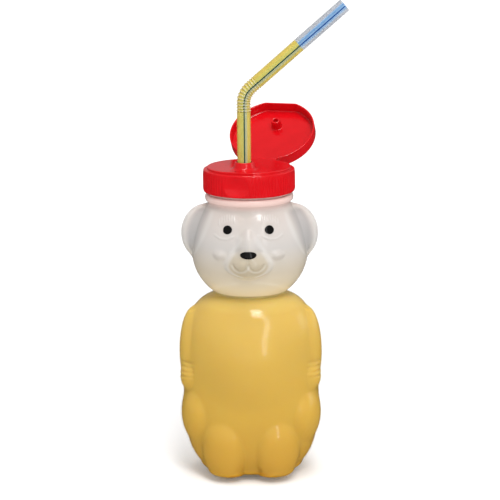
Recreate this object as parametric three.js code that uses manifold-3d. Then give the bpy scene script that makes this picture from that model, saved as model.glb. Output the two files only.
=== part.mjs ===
// Honey bear straw cup: a squeeze bottle shaped as a sitting bear, a screw cap with a flip lid,
// and a long drinking straw with a bellows bend.
// Millimetres, +Z up. The origin is the middle of the base, and the bear faces -Y.
import * as THREE from "three";
import { mergeVertices } from "three/addons/utils/BufferGeometryUtils.js";
import Module from "manifold-3d";

const wasm = await Module();
wasm.setup();

// Fits
const CLEARANCE = 0.3; // gap left between pieces that touch on the real cup

// Bottle: a squarish body with a round head on it
const WALL = 1.1;
const FLOOR = 2.2; // thickness of the base
const INSIDE_ROUNDING = 2.4; // the inside follows no detail finer than this
const BODY_WIDTH = 60;
const BODY_DEPTH = 48;
const BODY_MIDDLE = 38; // height of its widest place
const BODY_RISE = 43.8; // from there to the top, inside the chin
const BODY_DROP = 39.4; // from there to where its curve would close, under the base
const SHOULDER_SQUARENESS = 3.8; // 2 is an ellipse
const HEEL_SQUARENESS = 3.2;
const HEAD_WIDTH = 50;
const HEAD_DEPTH = 45;
const HEAD_MIDDLE = 99;
const HEAD_RISE = 30;
const HEAD_DROP = 22.6;
const CHIN_SOFTNESS = 0.8; // how softly head and body meet
const NECK_HEIGHT = 120.5; // where the head ends and the round neck begins
const EYE_ANGLE = 25.5; // degrees to either side of the front
const EYE_RISE = 13; // above the middle of the head
const EYE_SIZE = 4.1;
const NOSE_RISE = 3.3;
const NOSE_WIDTH = 7.2;
const NOSE_TALL = 3.1;
const GROOVE_RADIUS = 5.6; // moulded ring groove in the base
const GROOVE_WIDTH = 3.4;
const GROOVE_DEPTH = 0.9;

// Neck finish
const NECK_RADIUS = 17.5;
const NECK_WALL = 1.8;
const BEAD_RADIUS = 19;
const BEAD_HEIGHT = 3.2;
const FINISH_HEIGHT = 8.6; // bead to lip

// Cap
const LINER_THICKNESS = 1;
const DECK_THICKNESS = 1.4;
const LEDGE_DROP = 1; // ledge that the lid sits on, below the deck
const THREAD_ROOM = 0.7; // neck to the inside of the skirt
const CAP_WALL = 1.4;
const RIB_COUNT = 72;
const RIB_DEPTH = 0.4;
const SKIRT_HEIGHT = 9.6;
const SCOOP_WIDTH = 15;
const SCOOP_HEIGHT = 8.6;
const SCOOP_DEPTH = 0.6;
const CAP_TURN = -15; // degrees about +Z, as the cap stands on the bottle

// Spout and its seal
const SPOUT_REACH = 6.9; // from the axis of the cap to the spout
const COLLAR_HEIGHT = 3;
const COLLAR_WALL = 0.8;
const COLLAR_FLARE = 0.7;
const SEAL_RADIUS = 6.2;
const SEAL_THICKNESS = 1.6;
const SOCKET_WALL = 0.9;

// Lid
const LID_WALL = 1.1;
const LID_TOP = 1.2;
const LID_INSET = 1.2; // rim of the lid inside the skirt of the cap
const LID_HEADROOM = 0.8; // closed lid over the collar
const LID_FLAT_WIDTH = 14; // flat for the thumb at the free end
const PLUG_RADIUS = 2.1;
const PLUG_LENGTH = 3.9;
const PLUG_HOLLOW = 1.1;
const HINGE_OFFSET = 1; // hinge line outside the rim of the lid
const LID_OPEN = 146; // degrees open, as it stands
const WEB_WIDTH = 4.5;
const WEB_SPACING = 8;
const WEB_THICKNESS = 0.4;

// Straw
const STRAW_RADIUS = 3;
const STRAW_WALL = 0.3;
const STEM_RISE = 24.5; // stem above the deck of the cap
const BELLOWS_LENGTH = 14.4;
const BELLOWS_RIBS = 12;
const BELLOWS_CREST = 0.3; // crest of a rib outside the tube
const BELLOWS_BEND = 49; // degrees from straight, as it stands
const MOUTH_LENGTH = 49;

// Heights and radii that follow from the sizes above
const BEAD_Z = NECK_HEIGHT + 0.8;
const LIP_Z = BEAD_Z + BEAD_HEIGHT + FINISH_HEIGHT;
const LINER_Z = LIP_Z + CLEARANCE;
const DECK_UNDER = LINER_Z + LINER_THICKNESS + CLEARANCE;
const DECK_Z = DECK_UNDER + DECK_THICKNESS;
const LEDGE_Z = DECK_Z - LEDGE_DROP;
const SKIRT_Z = LEDGE_Z - SKIRT_HEIGHT;
const SKIRT_INNER = NECK_RADIUS + THREAD_ROOM;
const SKIRT_RADIUS = SKIRT_INNER + CAP_WALL;
const CAP_RADIUS = SKIRT_RADIUS + RIB_DEPTH;
const LID_RADIUS = CAP_RADIUS - LID_INSET;
const LID_DEPTH = LEDGE_DROP + COLLAR_HEIGHT + LID_HEADROOM;
const HINGE_REACH = LID_RADIUS + HINGE_OFFSET;
const HINGE_FLAT = Math.min(LID_RADIUS, SKIRT_INNER + 0.4 * (CAP_WALL + RIB_DEPTH));
const SPOUT_BORE = STRAW_RADIUS + CLEARANCE;
const STRAW_FOOT = FLOOR + CLEARANCE;
const STEM_TOP = DECK_Z + STEM_RISE;
const SKIRT_SIDES = 96;

// Meshes and solids

// Closed skin over rings of points. A ring of one point is a pole; a looped skin ends on its first ring.
function skin(rings, looped = false) {
  const positions = [];
  const index = [];
  const starts = rings.map((ring) => {
    const start = positions.length / 3;
    ring.forEach((point) => positions.push(point.x, point.y, point.z));
    return start;
  });
  const bands = looped ? rings.length : rings.length - 1;
  for (let band = 0; band < bands; band++) {
    const next = (band + 1) % rings.length;
    const lower = rings[band].length;
    const upper = rings[next].length;
    const sides = Math.max(lower, upper);
    for (let side = 0; side < sides; side++) {
      const after = (side + 1) % sides;
      const a = starts[band] + (side % lower);
      const b = starts[band] + (after % lower);
      const c = starts[next] + (after % upper);
      const d = starts[next] + (side % upper);
      if (lower > 1) index.push(a, b, c);
      if (upper > 1) index.push(a, c, d);
    }
  }
  const geometry = new THREE.BufferGeometry();
  geometry.setAttribute("position", new THREE.Float32BufferAttribute(positions, 3));
  geometry.setIndex(index);
  return geometry;
}

function solid(geometry) {
  const plain = new THREE.BufferGeometry();
  plain.setAttribute("position", geometry.getAttribute("position").clone());
  plain.setIndex(geometry.getIndex());
  const merged = mergeVertices(plain, 1e-4);
  return new wasm.Manifold(
    new wasm.Mesh({
      numProp: 3,
      vertProperties: new Float32Array(merged.getAttribute("position").array),
      triVerts: new Uint32Array(merged.getIndex().array),
    }),
  );
}

function geometryOf(manifold) {
  const mesh = manifold.getMesh();
  const geometry = new THREE.BufferGeometry();
  geometry.setAttribute("position", new THREE.Float32BufferAttribute(mesh.vertProperties, 3));
  geometry.setIndex(new THREE.Uint32BufferAttribute(mesh.triVerts, 1));
  return geometry;
}

// Solid of revolution about +Z from [radius, height] points, given anticlockwise from the axis.
function turned(profile, sides) {
  const points = profile.map(([radius, height]) => new THREE.Vector2(radius, height));
  return solid(new THREE.LatheGeometry(points, sides).rotateX(Math.PI / 2));
}

function cylinder(radius, bottom, top, sides) {
  return turned([[0, bottom], [radius, bottom], [radius, top], [0, top]], sides);
}

// Everything on the far side of the plane y = limit, as a block to keep or to cut with
function halfSpace(limit, towards) {
  const size = 200;
  const block = new THREE.BoxGeometry(size, size, size);
  return solid(block.translate(0, limit + (towards * size) / 2, DECK_Z));
}

// Evenly spaced values from one to another, the last one left out
function spread(from, to, count) {
  return Array.from({ length: count }, (_, at) => from + ((to - from) * at) / count);
}

function ring(radius, height, sides) {
  return spread(0, 2 * Math.PI, sides)
    .map((angle) => new THREE.Vector3(radius * Math.cos(angle), radius * Math.sin(angle), height));
}

// Round tube or washer about +Z, square at both ends
function sleeve(inner, outer, bottom, top, sides) {
  const corners = [[inner, bottom], [outer, bottom], [outer, top], [inner, top]];
  return skin(corners.map(([radius, height]) => ring(radius, height, sides)), true);
}

function shiny(color, roughness) {
  return new THREE.MeshStandardMaterial({ color, roughness, metalness: 0 });
}

function piece(name, geometry, material) {
  const mesh = new THREE.Mesh(geometry, material);
  mesh.name = name;
  return mesh;
}

// Bear bottle

// Share of its full width that a rounded form has at a height, for a rise or drop and a squareness
function fullness(distance, reach, squareness) {
  const share = Math.min(Math.abs(distance) / reach, 1);
  return (1 - share ** squareness) ** (1 / squareness);
}

// Radius of an ellipse; angle 0 is the front and 90 degrees the bear's side
function ellipseRadius(angle, width, depth) {
  return 0.5 / Math.hypot(Math.sin(angle) / width, Math.cos(angle) / depth);
}

// Radius of the plain body, head and neck
function trunkRadius(angle, height) {
  const bodyLift = height - BODY_MIDDLE;
  const headLift = height - HEAD_MIDDLE;
  const bodyShare = bodyLift > 0
    ? fullness(bodyLift, BODY_RISE, SHOULDER_SQUARENESS)
    : fullness(bodyLift, BODY_DROP, HEEL_SQUARENESS);
  const headShare = fullness(headLift, headLift > 0 ? HEAD_RISE : HEAD_DROP, 2);
  const body = bodyShare * ellipseRadius(angle, BODY_WIDTH, BODY_DEPTH);
  const head = headShare * ellipseRadius(angle, HEAD_WIDTH, HEAD_DEPTH);
  const radius = blend(body, head, CHIN_SOFTNESS);
  return headLift > 0 ? blend(radius, NECK_RADIUS - 0.2, 1) : radius;
}

// Rounded lobes that stand on the trunk, with their size across, outwards and upwards.
// Each one's middle lies at an angle in degrees and a height, sunk below the trunk's skin.
function lobe(part, angle, height, sizes) {
  return { part, angle: THREE.MathUtils.degToRad(angle), height, squareness: 2, paired: false, ...sizes };
}

function pair(part, angle, height, sizes) {
  return { ...lobe(part, angle, height, sizes), paired: true };
}

const LOBES = [
  lobe("belly", 0, BODY_MIDDLE + 12, { sunk: 13, across: 19, out: 15, up: 23, soft: 4 }),
  lobe("muzzle", 0, HEAD_MIDDLE - 1.6, { sunk: 4, across: 9.4, out: 7.6, up: 6.8, soft: 2.5 }),
  lobe("bridge", 0, HEAD_MIDDLE + 4.5, { sunk: 4, across: 5, out: 6.6, up: 8.5, soft: 3 }),
  pair("brow", 24, HEAD_MIDDLE + 15, { sunk: 5, across: 6, out: 5.3, up: 5, soft: 3 }),
  pair("ear", 92, HEAD_MIDDLE + 7.9, { sunk: 6, across: 6.4, out: 11.5, up: 12.8, soft: 1.5 }),
  pair("arm", 82, BODY_MIDDLE + 17, { sunk: 5, across: 8, out: 7.1, up: 20.5, soft: 0.6 }),
  pair("paw", 75, BODY_MIDDLE + 7, { sunk: 3.4, across: 6.5, out: 5.9, up: 8, soft: 1.2 }),
  pair("thigh", 74, 28, { sunk: 6, across: 12, out: 8.3, up: 14, soft: 1.5 }),
  pair("leg", 38, 15.8, { sunk: 6.3, across: 11.5, out: 9.6, up: 15.5, soft: 1.5, squareness: 2.2 }),
];

// Distance from the axis to the far side of a lobe, or 0 where the lobe isn't met
function lobeRadius(form, angle, height) {
  const size = fullness(height - form.height, form.up, form.squareness);
  if (size === 0) return 0;
  const middle = (trunkRadius(form.angle, form.height) - form.sunk) / form.out;
  const ahead = Math.cos(angle - form.angle) / form.out;
  const aside = Math.sin(angle - form.angle) / form.across;
  const slant = ahead * ahead + aside * aside;
  const reach = middle * ahead;
  const inside = reach * reach - slant * (middle * middle - size * size);
  if (inside < 0 || reach < 0) return 0;
  return (reach + Math.sqrt(inside)) / slant;
}

// Larger of two radii, with a soft valley where they meet
function blend(a, b, soft) {
  const near = Math.max(soft - Math.abs(a - b), 0) / soft;
  return Math.max(a, b) + (near * near * soft) / 4;
}

// Radius of the bear's skin; the angle runs from the front round to either side
function bearRadius(angle, height) {
  const round = Math.atan2(Math.sin(angle), Math.cos(angle));
  let radius = trunkRadius(round, height);
  for (const form of LOBES) {
    const towards = form.paired ? Math.abs(round) : round;
    radius = blend(radius, lobeRadius(form, towards, height), form.soft);
  }
  return radius;
}

// Radius of the inside: the skin drawn in by the wall, from all sides, so that creases keep their wall
function insideRadius(angle, height) {
  const radius = bearRadius(angle, height);
  const drawn = [radius - WALL];
  for (const share of [0.5, 1]) {
    for (const turn of spread(0, 2 * Math.PI, 8)) {
      const aside = (share * INSIDE_ROUNDING * Math.cos(turn)) / radius;
      const above = share * INSIDE_ROUNDING * Math.sin(turn);
      drawn.push(bearRadius(angle + aside, height + above) - WALL * (1 - share));
    }
  }
  return Math.min(...drawn);
}

function onSkin(angle, height, radius) {
  return new THREE.Vector3(radius * Math.sin(angle), -radius * Math.cos(angle), height);
}

// Height of the crease between body and head, where the trunk is narrowest
function waistHeight() {
  const step = 0.1;
  let waist = HEAD_MIDDLE - HEAD_DROP;
  while (trunkRadius(0, waist + step) < trunkRadius(0, waist)) waist += step;
  return waist;
}

function bearBottle() {
  const frontColumns = 30;
  const backColumns = 10;
  const front = THREE.MathUtils.degToRad(115); // face and limbs; the back is plain
  const outerStep = 3;
  const innerStep = 6.5;
  const shoulderRoom = 3; // inside of the head below the bore of the neck
  const heelRound = 2; // inside corner of the base
  const angles = [
    ...spread(-front, front, frontColumns),
    ...spread(front, 2 * Math.PI - front, backColumns),
  ];
  const waist = waistHeight();
  const levels = (from, to, step) => spread(from, to, Math.ceil((to - from) / step));
  const heights = (from, to, step) => [...levels(from, waist, step), ...levels(waist, to, step), to];
  const around = (height, radiusAt) => angles.map((angle) => onSkin(angle, height, radiusAt(angle)));
  const circle = (radius, height) => around(height, () => radius);
  const bore = NECK_RADIUS - NECK_WALL;
  const half = GROOVE_WIDTH / 2;
  const insideFloor = FLOOR + heelRound;
  const insideTop = NECK_HEIGHT - shoulderRoom;
  const base = [
    [new THREE.Vector3(0, 0, 0)],
    circle(GROOVE_RADIUS - half, 0),
    circle(GROOVE_RADIUS - half / 2, GROOVE_DEPTH),
    circle(GROOVE_RADIUS + half / 2, GROOVE_DEPTH),
    circle(GROOVE_RADIUS + half, 0),
  ];
  const outside = heights(0, NECK_HEIGHT, outerStep)
    .map((z) => around(z, (angle) => bearRadius(angle, z)));
  const finish = [
    circle(NECK_RADIUS, BEAD_Z),
    circle(BEAD_RADIUS, BEAD_Z + 0.5),
    circle(BEAD_RADIUS, BEAD_Z + BEAD_HEIGHT - 0.5),
    circle(NECK_RADIUS, BEAD_Z + BEAD_HEIGHT),
    circle(NECK_RADIUS, LIP_Z),
    circle(bore, LIP_Z),
    circle(bore, NECK_HEIGHT),
  ];
  const inside = heights(insideFloor, insideTop, innerStep)
    .reverse()
    .map((z) => around(z, (angle) => insideRadius(angle, z)));
  const floor = [
    around(FLOOR, (angle) => insideRadius(angle, insideFloor) - heelRound),
    circle(GROOVE_RADIUS - half, FLOOR),
    [new THREE.Vector3(0, 0, FLOOR)],
  ];
  const natural = shiny(0xd9c9a4, 0.42);
  return piece("bear_bottle", skin([...base, ...outside, ...finish, ...inside, ...floor]), natural);
}

// Thin domed patch of ink that follows the skin
function inkPatch(name, angle, height, width, tall) {
  const sides = 14;
  const thickness = 0.35;
  const middle = bearRadius(angle, height);
  const rim = (share, offset) =>
    Array.from({ length: share > 0 ? sides : 1 }, (_, side) => {
      const turn = (2 * Math.PI * side) / sides;
      const at = angle + (share * width * Math.cos(turn)) / 2 / middle;
      const z = height + (share * tall * Math.sin(turn)) / 2;
      return onSkin(at, z, bearRadius(at, z) + CLEARANCE + offset);
    });
  const back = [rim(0, 0), rim(0.6, 0), rim(1, 0)];
  const dome = [rim(0.9, thickness * 0.7), rim(0.5, thickness), rim(0, thickness)];
  return piece(name, skin([...back, ...dome]), shiny(0x0d0b0a, 0.25));
}

// Screw cap

function capLiner() {
  const overhang = 0.5; // inwards past the lip
  const outer = SKIRT_INNER - CLEARANCE;
  const inner = NECK_RADIUS - NECK_WALL - overhang;
  const washer = sleeve(inner, outer, LINER_Z, LINER_Z + LINER_THICKNESS, 48);
  return piece("cap_liner", washer, shiny(0xe9e6df, 0.6));
}

// Skirt band with upright ribs, as a toothed outline pulled up
function ribBand(bottom, top) {
  const tooth = [[0, SKIRT_RADIUS], [0.25, CAP_RADIUS], [0.6, CAP_RADIUS], [0.85, SKIRT_RADIUS]];
  const points = spread(0, RIB_COUNT, RIB_COUNT).flatMap((rib) =>
    tooth.map(([share, radius]) => {
      const angle = (2 * Math.PI * (rib + share)) / RIB_COUNT;
      return new THREE.Vector2(radius * Math.cos(angle), radius * Math.sin(angle));
    }));
  const pull = { depth: top - bottom, bevelEnabled: false };
  const band = new THREE.ExtrudeGeometry(new THREE.Shape(points), pull);
  return solid(band.translate(0, 0, bottom));
}

function screwCap() {
  const edge = 0.6;
  const deckRadius = LID_RADIUS - LID_WALL - CLEARANCE;
  const lidFlat = Math.sqrt(LID_RADIUS ** 2 - (LID_FLAT_WIDTH / 2) ** 2) - LID_WALL - CLEARANCE;
  const collarTop = SPOUT_BORE + COLLAR_WALL;
  const socketInner = SEAL_RADIUS + CLEARANCE;
  const socketOuter = socketInner + SOCKET_WALL;
  const socketBottom = DECK_UNDER - SEAL_THICKNESS - CLEARANCE;
  const atSpout = (part) => part.translate([0, -SPOUT_REACH, 0]);

  const shell = turned([
    [0, SKIRT_Z],
    [SKIRT_RADIUS - edge / 2, SKIRT_Z],
    [SKIRT_RADIUS, SKIRT_Z + edge],
    [SKIRT_RADIUS, LEDGE_Z - edge],
    [SKIRT_RADIUS - edge, LEDGE_Z],
    [0, LEDGE_Z],
  ], SKIRT_SIDES);
  const deck = cylinder(deckRadius, LEDGE_Z - 0.5, DECK_Z, SKIRT_SIDES).intersect(halfSpace(-lidFlat, 1));
  const hollow = cylinder(SKIRT_INNER, SKIRT_Z - 1, DECK_UNDER, SKIRT_SIDES);
  const collar = atSpout(turned([
    [0, DECK_Z - 0.5],
    [collarTop + COLLAR_FLARE, DECK_Z - 0.5],
    [collarTop + COLLAR_FLARE, DECK_Z],
    [collarTop, DECK_Z + COLLAR_HEIGHT],
    [0, DECK_Z + COLLAR_HEIGHT],
  ], 32));
  const bore = atSpout(cylinder(SPOUT_BORE, DECK_UNDER - 1, DECK_Z + COLLAR_HEIGHT + 1, 32));
  const socket = atSpout(
    cylinder(socketOuter, socketBottom, DECK_UNDER + 0.5, 32)
      .subtract(cylinder(socketInner, socketBottom - 1, DECK_UNDER, 32)),
  );
  const scoop = solid(
    new THREE.SphereGeometry(1, 32, 16)
      .scale(SCOOP_WIDTH / 2 + 1, RIB_DEPTH + SCOOP_DEPTH, SCOOP_HEIGHT / 2)
      .translate(0, -CAP_RADIUS, (SKIRT_Z + LEDGE_Z) / 2),
  );
  const cap = shell
    .add(ribBand(SKIRT_Z + edge, LEDGE_Z - edge))
    .add(deck)
    .subtract(hollow)
    .add(socket)
    .add(collar)
    .subtract(bore)
    .subtract(scoop)
    .subtract(halfSpace(HINGE_FLAT, 1));
  return piece("screw_cap", geometryOf(cap), shiny(0xd3101b, 0.28));
}

function strawSeal() {
  const top = DECK_UNDER - CLEARANCE;
  const washer = sleeve(STRAW_RADIUS + CLEARANCE, SEAL_RADIUS, top - SEAL_THICKNESS, top, 32);
  return piece("straw_seal", washer, shiny(0xf0efe9, 0.55));
}

// Flip lid, drawn closed about its hinge line and then opened

function flipLid() {
  const edge = 1;
  const top = LID_DEPTH + LID_TOP;
  const flat = Math.sqrt(LID_RADIUS ** 2 - (LID_FLAT_WIDTH / 2) ** 2);
  const inner = LID_RADIUS - LID_WALL;
  const outside = turned([
    [0, CLEARANCE],
    [LID_RADIUS, CLEARANCE],
    [LID_RADIUS, top - edge],
    [LID_RADIUS - edge * 0.3, top - edge * 0.3],
    [LID_RADIUS - edge, top],
    [0, top],
  ], 64);
  const inside = turned([
    [0, CLEARANCE - 1],
    [inner, CLEARANCE - 1],
    [inner, LID_DEPTH - 0.5],
    [inner - 0.5, LID_DEPTH],
    [0, LID_DEPTH],
  ], 64);
  const plug = turned([
    [0, LID_DEPTH - PLUG_LENGTH + PLUG_LENGTH / 2],
    [PLUG_HOLLOW, LID_DEPTH - PLUG_LENGTH + PLUG_LENGTH / 2],
    [PLUG_HOLLOW, LID_DEPTH - PLUG_LENGTH],
    [PLUG_RADIUS - 0.3, LID_DEPTH - PLUG_LENGTH],
    [PLUG_RADIUS, LID_DEPTH - PLUG_LENGTH + 0.5],
    [PLUG_RADIUS + 0.2, LID_DEPTH + 0.5],
    [0, LID_DEPTH + 0.5],
  ], 24);
  const keep = (limit) => halfSpace(-limit, 1).translate([0, 0, -DECK_Z]);
  const lid = outside
    .intersect(keep(flat))
    .subtract(inside.intersect(keep(flat - LID_WALL)))
    .add(plug.translate([0, -SPOUT_REACH, 0]));
  return piece("flip_lid", geometryOf(lid.translate([0, -HINGE_REACH, 0])), shiny(0xdc1a22, 0.26));
}

// Living hinge: a short web bent about the hinge line, with a gap to the cap and to the open lid
function hingeWeb(name, side) {
  const opening = THREE.MathUtils.degToRad(LID_OPEN);
  const half = WEB_THICKNESS / 2;
  const leg = HINGE_OFFSET - CLEARANCE - 0.1;
  const fold = Math.PI - opening;
  const capSide = [-Math.max(HINGE_REACH - HINGE_FLAT - CLEARANCE, leg), 0];
  const lidSide = [leg * Math.cos(fold), leg * Math.sin(fold)];
  const slant = fold / 2;
  const outline = new THREE.Shape([
    new THREE.Vector2(capSide[0], -half),
    new THREE.Vector2(half * Math.sin(slant), -half),
    new THREE.Vector2(lidSide[0] + half * Math.sin(fold), lidSide[1] - half * Math.cos(fold)),
    new THREE.Vector2(lidSide[0] - half * Math.sin(fold), lidSide[1] + half * Math.cos(fold)),
    new THREE.Vector2(-half * Math.sin(slant), half),
    new THREE.Vector2(capSide[0], half),
  ]);
  const web = new THREE.ExtrudeGeometry(outline, { depth: WEB_WIDTH, bevelEnabled: false });
  web.translate(0, 0, -WEB_WIDTH / 2);
  web.applyMatrix4(new THREE.Matrix4().makeBasis(
    new THREE.Vector3(0, 1, 0),
    new THREE.Vector3(0, 0, 1),
    new THREE.Vector3(1, 0, 0),
  ));
  const mesh = piece(name, web, shiny(0xd3101b, 0.3));
  mesh.position.set((side * WEB_SPACING) / 2, HINGE_REACH, LEDGE_Z);
  return mesh;
}

// Straw, drawn about its own axis at the spout

const BEND = THREE.MathUtils.degToRad(BELLOWS_BEND);
const BEND_AXIS = new THREE.Vector3(0, 1, 0);
const TUBE_SIDES = 20;
const ARC_RADIUS = BELLOWS_LENGTH / BEND;

// Ring round the bent axis of the bellows, at an arc length from its foot
function bentRing(radius, length, sides) {
  const turn = length / ARC_RADIUS;
  const sideways = ARC_RADIUS * (1 - Math.cos(turn));
  const middle = new THREE.Vector3(sideways, 0, STEM_TOP + ARC_RADIUS * Math.sin(turn));
  return ring(radius, 0, sides).map((point) => point.applyAxisAngle(BEND_AXIS, turn).add(middle));
}

function strawStem() {
  const stem = sleeve(STRAW_RADIUS - STRAW_WALL, STRAW_RADIUS, STRAW_FOOT, STEM_TOP, TUBE_SIDES);
  return piece("straw_stem", stem, shiny(0xd4bc58, 0.3));
}

function strawBellows() {
  const sides = 14;
  const root = STRAW_RADIUS - 0.1;
  const crest = STRAW_RADIUS + BELLOWS_CREST;
  const bore = STRAW_RADIUS - STRAW_WALL - 0.3;
  const from = CLEARANCE;
  const pitch = (BELLOWS_LENGTH - 2 * CLEARANCE) / BELLOWS_RIBS;
  const outer = [bentRing(root, from, sides)];
  const inner = [bentRing(bore, from, sides)];
  for (let rib = 0; rib < BELLOWS_RIBS; rib++) {
    const foot = from + rib * pitch;
    outer.push(bentRing(crest, foot + pitch / 2, sides));
    outer.push(bentRing(root, foot + pitch, sides));
    if (rib % 3 === 2) inner.push(bentRing(bore, foot + pitch, sides));
  }
  return piece("straw_bellows", skin([...outer, ...inner.reverse()], true), shiny(0xcdbb66, 0.3));
}

function strawMouthTube() {
  const end = bentRing(0, BELLOWS_LENGTH, 1)[0];
  const mouth = sleeve(STRAW_RADIUS - STRAW_WALL, STRAW_RADIUS, 0, MOUTH_LENGTH, TUBE_SIDES);
  return piece("straw_mouth_tube", mouth.rotateY(BEND).translate(end.x, end.y, end.z), shiny(0x9fbcd8, 0.3));
}

// Assembly

function assemble() {
  const cup = new THREE.Group();
  cup.name = "honey_bear_straw_cup";
  const eye = THREE.MathUtils.degToRad(EYE_ANGLE);
  cup.add(bearBottle());
  cup.add(inkPatch("left_eye", eye, HEAD_MIDDLE + EYE_RISE, EYE_SIZE, EYE_SIZE));
  cup.add(inkPatch("right_eye", -eye, HEAD_MIDDLE + EYE_RISE, EYE_SIZE, EYE_SIZE));
  cup.add(inkPatch("nose", 0, HEAD_MIDDLE + NOSE_RISE, NOSE_WIDTH, NOSE_TALL));

  const cap = new THREE.Group();
  cap.rotation.z = THREE.MathUtils.degToRad(CAP_TURN);
  cap.add(capLiner());
  cap.add(screwCap());
  cap.add(hingeWeb("hinge_web_left", -1));
  cap.add(hingeWeb("hinge_web_right", 1));
  const lid = new THREE.Group();
  lid.position.set(0, HINGE_REACH, LEDGE_Z);
  lid.rotation.x = -THREE.MathUtils.degToRad(LID_OPEN);
  lid.add(flipLid());
  cap.add(lid);
  cup.add(cap);

  // The straw's bend points to +X whatever way the cap is turned.
  const straw = new THREE.Group();
  const turn = THREE.MathUtils.degToRad(CAP_TURN);
  straw.position.set(SPOUT_REACH * Math.sin(turn), -SPOUT_REACH * Math.cos(turn), 0);
  straw.add(strawSeal());
  straw.add(strawStem());
  straw.add(strawBellows());
  straw.add(strawMouthTube());
  cup.add(straw);
  return cup;
}

export default assemble();
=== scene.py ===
# Honey bear straw cup: a milky squeeze bottle shaped as a sitting bear, filled with a yellow drink,
# with a red screw cap, a flip lid on a living hinge and a long striped straw with a bellows bend.
import math
import bmesh
import bpy
import numpy as np
from mathutils import Matrix, Vector


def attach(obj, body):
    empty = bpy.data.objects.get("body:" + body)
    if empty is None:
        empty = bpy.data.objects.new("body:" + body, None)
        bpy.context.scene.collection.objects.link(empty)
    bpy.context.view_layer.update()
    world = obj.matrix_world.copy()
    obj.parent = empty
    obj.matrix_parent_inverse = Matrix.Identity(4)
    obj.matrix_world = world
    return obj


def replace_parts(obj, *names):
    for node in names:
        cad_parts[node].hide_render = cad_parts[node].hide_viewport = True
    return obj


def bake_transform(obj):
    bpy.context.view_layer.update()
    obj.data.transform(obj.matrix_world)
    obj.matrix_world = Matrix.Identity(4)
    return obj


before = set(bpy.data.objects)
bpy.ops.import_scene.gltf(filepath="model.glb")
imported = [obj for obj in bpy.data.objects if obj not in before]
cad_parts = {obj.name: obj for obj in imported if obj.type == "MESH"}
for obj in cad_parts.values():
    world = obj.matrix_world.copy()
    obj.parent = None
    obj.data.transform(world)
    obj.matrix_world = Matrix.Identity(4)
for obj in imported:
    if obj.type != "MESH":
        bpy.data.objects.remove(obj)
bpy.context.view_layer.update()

# Bear bottle
# A blow-moulded squeeze bottle of natural polyethylene, thin, milky and see-through where it is wet.
# Its round neck has a bead under the cap and one screw thread, and its base has a moulded ring groove.
MM = 0.001
# Drawn thinner than the solid's wall, so that the drink shows out to the skin
WALL = 0.45
FLOOR = 2.2
BODY_WIDTH, BODY_DEPTH = 60, 48
BODY_MIDDLE, BODY_RISE, BODY_DROP = 38, 43.8, 39.4
SHOULDER_SQUARENESS, HEEL_SQUARENESS = 3.8, 3.2
HEAD_WIDTH, HEAD_DEPTH = 50, 45
HEAD_MIDDLE, HEAD_RISE, HEAD_DROP = 99, 30, 22.6
CHIN_SOFTNESS = 0.8
NECK_HEIGHT, NECK_RADIUS, NECK_WALL = 120.5, 17.5, 1.8
BEAD_Z, BEAD_RADIUS, BEAD_HEIGHT = 121.3, 19, 3.2
LIP_Z = BEAD_Z + BEAD_HEIGHT + 8.6
GROOVE_RADIUS, GROOVE_WIDTH, GROOVE_DEPTH = 5.6, 3.4, 0.9
THREAD_PITCH, THREAD_HEIGHT, THREAD_WIDTH = 4.233, 0.45, 1.3
LIP_EASE, LIP_TURN = 0.4, 0.12

# Lobes on the trunk: angle from the front, height, then how far they are sunk, reach across, outwards
# and upwards, how softly they join, and their squareness. All but the single ones come in pairs.
SINGLE_LOBES = ("belly", "muzzle", "bridge")
LOBES = {
    "belly": (0, 50, 13, 19, 15, 23, 4, 2),
    "muzzle": (0, 97.4, 4, 9.4, 7.6, 6.8, 2.5, 2),
    "bridge": (0, 103.5, 4, 5, 6.6, 8.5, 3, 2),
    "brow": (24, 114, 6.2, 6, 5, 4.6, 3.4, 2),
    "ear": (92, 106.9, 6, 6.4, 11.5, 12.8, 1.5, 2),
    "arm": (82, 55, 5, 8, 7.1, 20.5, 0.6, 2),
    "paw": (75, 45, 3.4, 6.5, 5.9, 8, 1.2, 2),
    "thigh": (74, 28, 6, 12, 8.3, 14, 1.5, 2),
    "leg": (38, 15.8, 6.3, 11.5, 9.6, 15.5, 0.8, 2.2),
}


def fullness(distance, reach, squareness):
    """Share of the full size at a distance from the middle of a rounded shape."""
    share = np.minimum(np.abs(distance) / reach, 1)
    return (1 - share ** squareness) ** (1 / squareness)


def ellipse(angle, width, depth):
    """Radius of an ellipse, by the angle from its depth."""
    return 0.5 / np.hypot(np.sin(angle) / width, np.cos(angle) / depth)


def joined(first, second, softness):
    """The larger of two radii, with the corner between them filled softly."""
    near = np.maximum(softness - np.abs(first - second), 0) / softness
    return np.maximum(first, second) + near * near * softness / 4


def trunk(angle, height):
    """Radius of body, head and neck without their lobes."""
    over_body, over_head = height - BODY_MIDDLE, height - HEAD_MIDDLE
    body = np.where(
        over_body > 0,
        fullness(over_body, BODY_RISE, SHOULDER_SQUARENESS),
        fullness(over_body, BODY_DROP, HEEL_SQUARENESS),
    )
    head = fullness(over_head, np.where(over_head > 0, HEAD_RISE, HEAD_DROP), 2)
    radius = joined(
        body * ellipse(angle, BODY_WIDTH, BODY_DEPTH),
        head * ellipse(angle, HEAD_WIDTH, HEAD_DEPTH),
        CHIN_SOFTNESS,
    )
    return np.where(over_head > 0, joined(radius, NECK_RADIUS - 0.2, 1), radius)


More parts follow.
